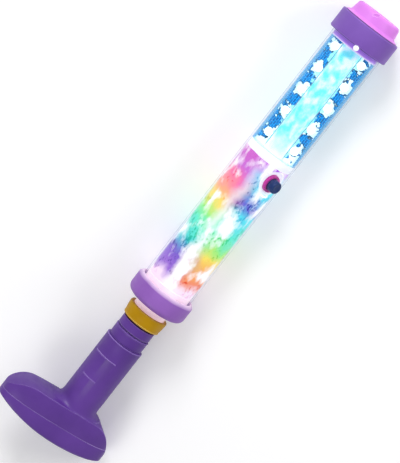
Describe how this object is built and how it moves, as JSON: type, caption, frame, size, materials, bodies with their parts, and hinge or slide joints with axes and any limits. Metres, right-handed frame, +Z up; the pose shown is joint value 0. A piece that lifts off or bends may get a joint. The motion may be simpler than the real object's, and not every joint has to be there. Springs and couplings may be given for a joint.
{
  "type": "water squirter",
  "caption": "Hand-pumped water squirter with a clear light-up barrel, a sliding plunger with a palm bar, a push-button light switch and a round nozzle.",
  "frame": {"origin": "on the surface that the squirter lies on, under the middle of the whole object", "axes": "+X along the barrel from the handle to the nozzle, +Y towards the long side of the palm bar, +Z up"},
  "size_m": [0.4, 0.0932, 0.0536],
  "materials": {
    "clear": "clear polished plastic",
    "lilac": "satin moulded plastic",
    "purple": "satin moulded plastic",
    "pink": "satin moulded plastic",
    "yellow": "smooth moulded plastic",
    "cyan": "translucent tinted plastic",
    "white": "white translucent plastic",
    "board": "blue printed circuit board",
    "lamp": "lit lens",
    "film": "rainbow printed film",
    "blue_film": "clear blue film",
    "magenta": "smooth moulded plastic",
    "navy": "soft-touch plastic",
    "black": "moulded plastic",
    "rubber": "black rubber",
    "steel": "plated steel"
  },
  "bodies": {
    "barrel": {"barrel_tube": "clear", "battery_cell_1": "steel", "battery_cell_2": "steel", "battery_cell_3": "steel", "battery_strap": "steel", "battery_tab": "steel", "battery_tray": "black", "blue_sleeve": "blue_film", "contact_switch": "black", "divider": "white", "front_collar": "lilac", "front_gasket": "rubber", "front_left_board": "board", "front_left_led_1": "lamp", "front_left_led_2": "lamp", "front_left_led_3": "lamp", "front_left_led_4": "lamp", "front_left_led_5": "lamp", "front_plug": "purple", "front_right_board": "board", "front_right_led_1": "lamp", "front_right_led_2": "lamp", "front_right_led_3": "lamp", "front_right_led_4": "lamp", "front_right_led_5": "lamp", "front_trim_ring": "purple", "gland_neck": "white", "gland_ring": "yellow", "nozzle_cap": "pink", "pump_cylinder": "clear", "rainbow_sleeve": "film", "rear_collar": "lilac", "rear_gasket": "rubber", "rear_left_board": "board", "rear_left_led_1": "lamp", "rear_left_led_2": "lamp", "rear_left_led_3": "lamp", "rear_plug": "white", "rear_right_board": "board", "rear_right_led_1": "lamp", "rear_right_led_2": "lamp", "rear_right_led_3": "lamp", "return_pad": "rubber", "rod_wiper": "rubber", "switch_cup": "white", "switch_housing": "magenta", "switch_saddle": "white"},
    "piston": {"piston_head": "purple", "piston_seal": "rubber"},
    "handle": {"plunger_rod": "cyan", "rod_pin": "steel", "neck_collar": "purple", "handle_shell": "purple", "palm_cap": "purple", "palm_screw_1": "steel", "palm_screw_2": "steel"},
    "light_button": {"switch_button": "navy"}
  },
  "joints": [
    {"name": "pump_slide", "type": "slide", "parent": "barrel", "child": "piston", "axis": [-1, 0, 0], "range_m": [0, 0.24]},
    {"name": "handle_turn", "type": "hinge", "parent": "piston", "child": "handle", "pos_m": [0, -0.00674, 0.0245], "axis": [1, 0, 0], "continuous": true},
    {"name": "light_press", "type": "slide", "parent": "barrel", "child": "light_button", "axis": [0, 0.7771, -0.6293], "range_m": [0, 0.0012], "stiffness_N_per_m": 800}
  ]
}
